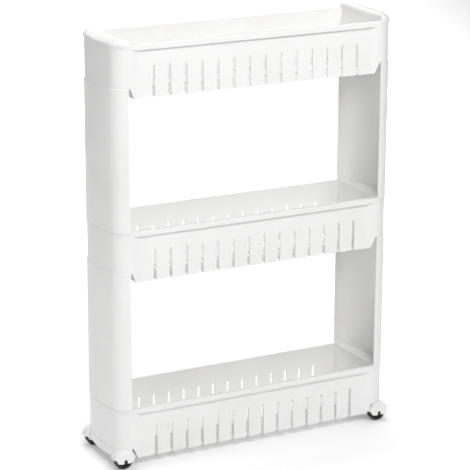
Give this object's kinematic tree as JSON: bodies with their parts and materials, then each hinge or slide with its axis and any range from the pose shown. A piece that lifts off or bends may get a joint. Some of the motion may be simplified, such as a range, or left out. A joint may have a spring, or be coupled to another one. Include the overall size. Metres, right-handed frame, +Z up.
{
  "type": "rolling utility cart",
  "caption": "Slim rolling storage cart with slotted plastic trays between curved end panels, on fixed wheels under domed hoods.",
  "frame": {"origin": "on the ground, below the centre of the cart", "axes": "+X along the trays, -Y towards the front long side, +Z up"},
  "size_m": [0.5168, 0.14, 0.7075],
  "materials": {
    "white_plastic": "moulded white polypropylene with a soft sheen",
    "wheel_plastic": "hard black plastic, lightly scuffed tread",
    "axle_plastic": "smooth black plastic"
  },
  "bodies": {
    "chassis": {"top_tray": "white_plastic", "middle_tray": "white_plastic", "bottom_tray": "white_plastic", "upper_left_panel": "white_plastic", "upper_right_panel": "white_plastic", "lower_left_panel": "white_plastic", "lower_right_panel": "white_plastic", "left_wheel_base": "white_plastic", "right_wheel_base": "white_plastic"},
    "roller_front_left": {"wheel_front_left": "wheel_plastic", "axle_front_left": "axle_plastic"},
    "roller_front_right": {"wheel_front_right": "wheel_plastic", "axle_front_right": "axle_plastic"},
    "roller_rear_left": {"wheel_rear_left": "wheel_plastic", "axle_rear_left": "axle_plastic"},
    "roller_rear_right": {"wheel_rear_right": "wheel_plastic", "axle_rear_right": "axle_plastic"}
  },
  "joints": [
    {"name": "roll_front_left", "type": "hinge", "parent": "chassis", "child": "roller_front_left", "pos_m": [-0.2385, -0.0585, 0.01525], "axis": [0, 1, 0], "continuous": true},
    {"name": "roll_front_right", "type": "hinge", "parent": "chassis", "child": "roller_front_right", "pos_m": [0.2385, -0.0585, 0.01525], "axis": [0, 1, 0], "continuous": true},
    {"name": "roll_rear_left", "type": "hinge", "parent": "chassis", "child": "roller_rear_left", "pos_m": [-0.2385, 0.0585, 0.01525], "axis": [0, 1, 0], "continuous": true},
    {"name": "roll_rear_right", "type": "hinge", "parent": "chassis", "child": "roller_rear_right", "pos_m": [0.2385, 0.0585, 0.01525], "axis": [0, 1, 0], "continuous": true}
  ]
}
